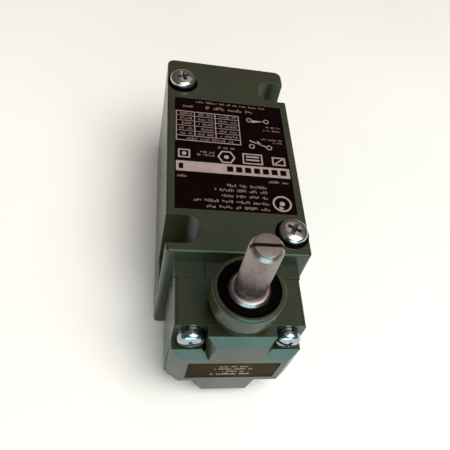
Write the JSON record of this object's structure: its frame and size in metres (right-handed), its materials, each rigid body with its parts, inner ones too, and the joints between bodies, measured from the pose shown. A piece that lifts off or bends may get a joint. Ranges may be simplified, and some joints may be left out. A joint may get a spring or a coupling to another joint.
{
  "type": "limit switch",
  "caption": "Heavy-duty rotary limit switch: die-cast box with plug-in body, square head with knurled operating shaft, side mounting holes and end conduit entry.",
  "frame": {"origin": "centre of the diagonal pair of mounting holes, on the flat back face", "axes": "+Z is the way the shaft points, away from the mounting face; +Y runs from the head to the conduit end; +X is to the right when looking at the front with the head at the bottom"},
  "size_m": [0.0414, 0.102, 0.0678],
  "materials": {
    "paint": "olive-green enamel on die-cast zinc, light grain",
    "zinc": "bright zinc-plated steel",
    "shaft_steel": "ground and nickel-plated steel",
    "inner_steel": "plain machined steel",
    "spring_steel": "spring wire",
    "bronze": "sintered bronze",
    "brass": "nickel-brass contact strip",
    "rubber": "black nitrile rubber",
    "phenolic": "dark moulded phenolic",
    "nylon": "natural nylon",
    "label": "near-black label film",
    "nameplate": "dark amber-brown nameplate film"
  },
  "bodies": {
    "housing": {"base_housing": "paint", "body_housing": "paint", "head_housing": "paint", "base_gasket": "rubber", "head_gasket": "rubber", "captive_screw_seals": "rubber", "shaft_seal": "rubber", "terminal_board": "phenolic", "terminal_block": "phenolic", "contact_case": "phenolic", "contact_cover": "phenolic", "follower_guide": "nylon", "socket_terminals": "brass", "closed_fixed_contacts": "brass", "open_fixed_contacts": "brass", "saddle_clamps": "zinc", "terminal_screws": "zinc", "ground_screw": "zinc", "captive_screws": "zinc", "contact_block_screws": "zinc", "head_screws": "zinc", "head_screw_washers": "zinc", "captive_screw_keepers": "inner_steel", "carrier_spring": "spring_steel", "follower_spring_ccw": "spring_steel", "follower_spring_cw": "spring_steel", "return_spring": "spring_steel", "front_bushing": "bronze", "rear_bushing": "bronze", "label_plate": "label", "head_nameplate": "nameplate"},
    "shaft": {"operating_shaft": "shaft_steel", "shaft_oring": "rubber", "cam_key": "inner_steel", "retaining_ring": "spring_steel", "thrust_washer": "inner_steel", "cam_ccw": "inner_steel", "cam_cw": "inner_steel"},
    "follower_cw": {"follower_cw": "inner_steel", "roller_pin_cw": "inner_steel"},
    "roller_cw": {"roller_cw": "inner_steel"},
    "follower_ccw": {"follower_ccw": "inner_steel", "roller_pin_ccw": "inner_steel"},
    "roller_ccw": {"roller_ccw": "inner_steel"},
    "contact_carrier": {"contact_carrier": "nylon", "closed_bridge_contact": "brass", "open_bridge_contact": "brass", "bridge_springs": "spring_steel"}
  },
  "joints": [
    {"name": "shaft_turn", "type": "hinge", "parent": "housing", "child": "shaft", "pos_m": [0, -0.05035, 0.0209], "axis": [0, 0, 1], "range_deg": [-80, 80], "stiffness_Nm_per_rad": 0.05, "deforming": ["return_spring"]},
    {"name": "follower_cw_slide", "type": "slide", "parent": "housing", "child": "follower_cw", "axis": [0, 1, 0], "range_m": [-0.00143, 0.00143], "deforming": ["follower_spring_cw"]},
    {"name": "follower_ccw_slide", "type": "slide", "parent": "housing", "child": "follower_ccw", "axis": [0, 1, 0], "range_m": [-0.00143, 0.00143], "deforming": ["follower_spring_ccw"]},
    {"name": "roller_cw_spin", "type": "hinge", "parent": "follower_cw", "child": "roller_cw", "pos_m": [0, -0.0413, 0.0286], "axis": [0, 0, 1], "range_deg": [-210, 210]},
    {"name": "roller_ccw_spin", "type": "hinge", "parent": "follower_ccw", "child": "roller_ccw", "pos_m": [0, -0.0413, 0.0206], "axis": [0, 0, 1], "range_deg": [-210, 210]},
    {"name": "carrier_slide", "type": "slide", "parent": "housing", "child": "contact_carrier", "axis": [0, 1, 0], "range_m": [0, 0.0015], "stiffness_N_per_m": 300, "springref_m": -0.003, "deforming": ["carrier_spring"]}
  ],
  "couplings": [
    {"joint": "follower_cw_slide", "follows": "shaft_turn", "m_per_rad": 0.0010186},
    {"joint": "follower_ccw_slide", "follows": "shaft_turn", "m_per_rad": -0.0010186},
    {"joint": "roller_cw_spin", "follows": "shaft_turn", "ratio": -2.56},
    {"joint": "roller_ccw_spin", "follows": "shaft_turn", "ratio": -2.56}
  ]
}
